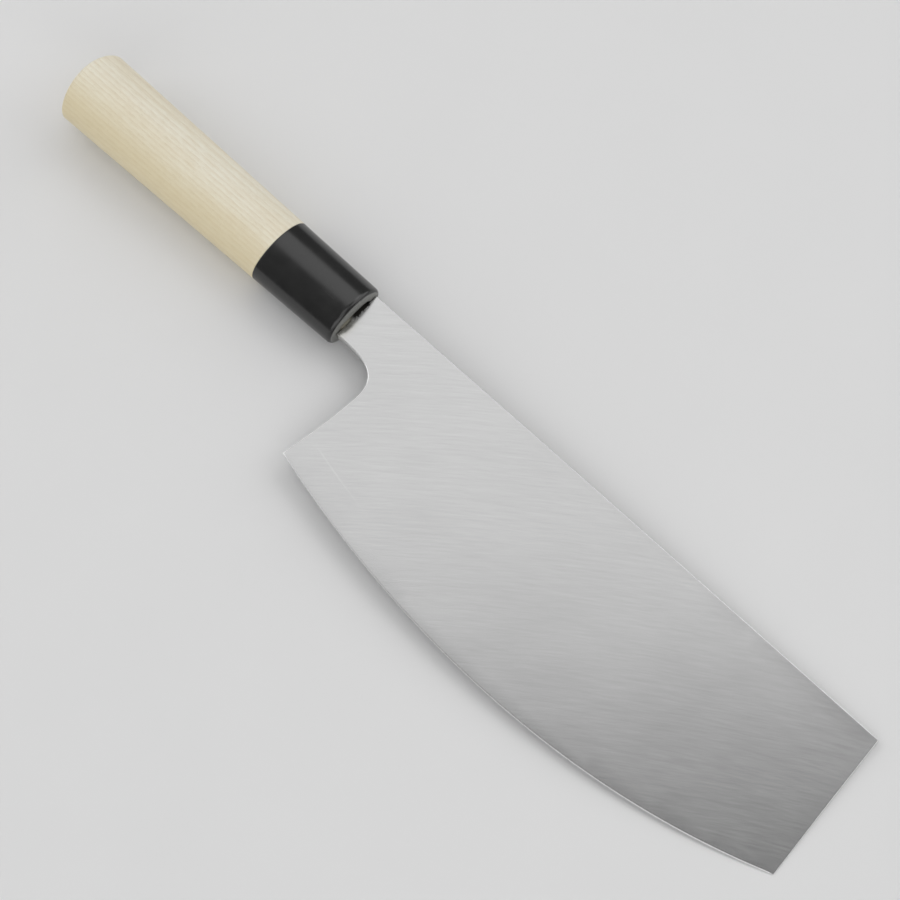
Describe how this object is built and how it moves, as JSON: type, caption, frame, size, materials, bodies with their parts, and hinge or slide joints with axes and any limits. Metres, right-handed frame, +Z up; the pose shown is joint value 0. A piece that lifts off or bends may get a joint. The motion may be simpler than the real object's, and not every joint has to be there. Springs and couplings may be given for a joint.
{
  "type": "sushi knife",
  "caption": "Wide sushi-slicing knife with a curved edge, straight spine and cut-off tip, its hidden tang set in an oval pale wood handle with a glossy black ferrule.",
  "frame": {"origin": "on the table, under the middle of the knife's box, with the knife lying on its side", "axes": "+X from the butt of the handle to the tip, +Y from the edge to the spine, +Z up, out of the blade's upper face"},
  "size_m": [0.3928, 0.0886, 0.0285],
  "materials": {
    "steel": "satin, fine diagonal hairlines",
    "black_plastic": "polished, fine handling scratches",
    "pale_wood": "bare, finely sanded, straight grain",
    "resin": "cured filler",
    "sealant": "dull, uneven"
  },
  "bodies": {
    "root": {"blade": "steel", "ferrule": "black_plastic", "handle": "pale_wood", "tang_resin": "resin", "mouth_seal": "sealant"}
  },
  "joints": []
}
